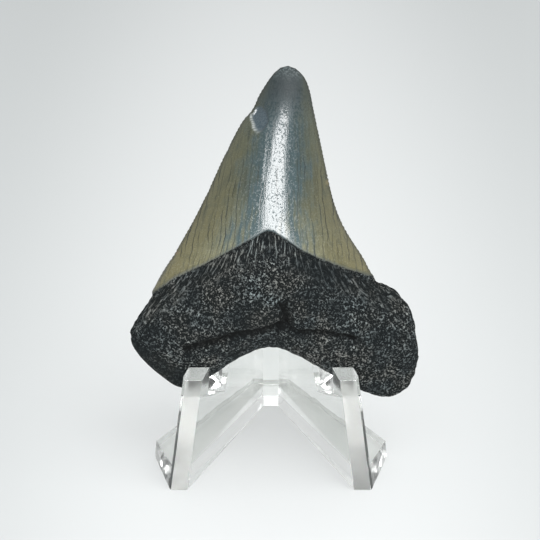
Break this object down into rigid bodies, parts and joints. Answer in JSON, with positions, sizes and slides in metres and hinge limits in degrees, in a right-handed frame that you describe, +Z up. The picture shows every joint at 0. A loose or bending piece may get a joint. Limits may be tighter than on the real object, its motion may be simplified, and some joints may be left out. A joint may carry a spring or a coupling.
{
  "type": "fossil shark tooth on a display stand",
  "caption": "Large triangular fossil shark tooth that leans in a clear moulded V-shaped display stand.",
  "frame": {"origin": "on the table, under the middle of the whole part's box", "axes": "+Z up, +Y from the front of the stand's feet towards its back, +X to the right for someone facing the tooth"},
  "size_m": [0.064, 0.0376, 0.0858],
  "materials": {
    "fossil": "glossy blue-grey enamel above a rough, pitted, nearly black root",
    "clear_plastic": "clear moulded plastic, polished"
  },
  "bodies": {
    "root": {"tooth": "fossil", "stand": "clear_plastic"}
  },
  "joints": []
}
